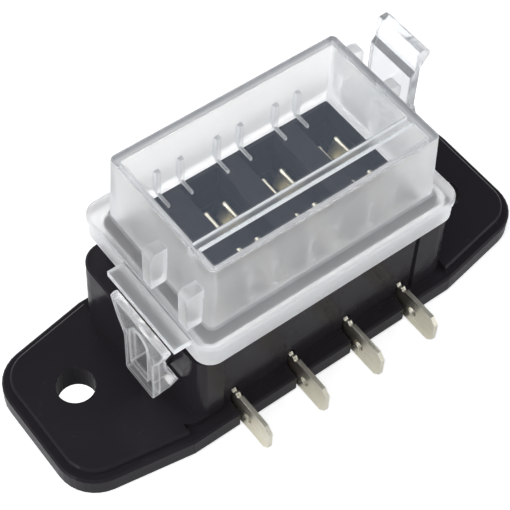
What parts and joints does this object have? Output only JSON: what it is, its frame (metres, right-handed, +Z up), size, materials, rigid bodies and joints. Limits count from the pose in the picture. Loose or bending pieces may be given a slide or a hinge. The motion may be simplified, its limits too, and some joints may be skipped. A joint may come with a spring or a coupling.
{
  "type": "blade fuse block",
  "caption": "Blade fuse block with a clear cover held by flip latches, a black base plate with screw holes, and plated blade terminals along both long sides.",
  "frame": {"origin": "centre of the base plate's underside", "axes": "+X along the row of ways, towards the latch that stands open; -Y towards the nearer row of blades; +Z up through the cover"},
  "size_m": [0.094, 0.0472, 0.0437],
  "materials": {
    "housing_black": "gloss",
    "cover_clear": "clear, slightly frosted plastic",
    "latch_clear": "clear plastic",
    "terminal_plated": "dull tin plate"
  },
  "bodies": {
    "base": {"base_housing": "housing_black", "terminal_front_1": "terminal_plated", "terminal_front_2": "terminal_plated", "terminal_front_3": "terminal_plated", "terminal_front_4": "terminal_plated", "terminal_rear_1": "terminal_plated", "terminal_rear_2": "terminal_plated", "terminal_rear_3": "terminal_plated", "terminal_rear_4": "terminal_plated"},
    "cover": {"cover": "cover_clear"},
    "left_latch": {"latch_left": "latch_clear"},
    "right_latch": {"latch_right": "latch_clear"}
  },
  "joints": [
    {"name": "cover_lift", "type": "slide", "parent": "base", "child": "cover", "axis": [0, 0, 1], "range_m": [0, 0.045]},
    {"name": "left_latch_hinge", "type": "hinge", "parent": "cover", "child": "left_latch", "pos_m": [-0.0294, -0.0058, 0.0272], "axis": [0, 1, 0], "range_deg": [0, 180]},
    {"name": "right_latch_hinge", "type": "hinge", "parent": "cover", "child": "right_latch", "pos_m": [0.0294, 0.0058, 0.0272], "axis": [0, 1, 0], "range_deg": [0, 180]}
  ]
}
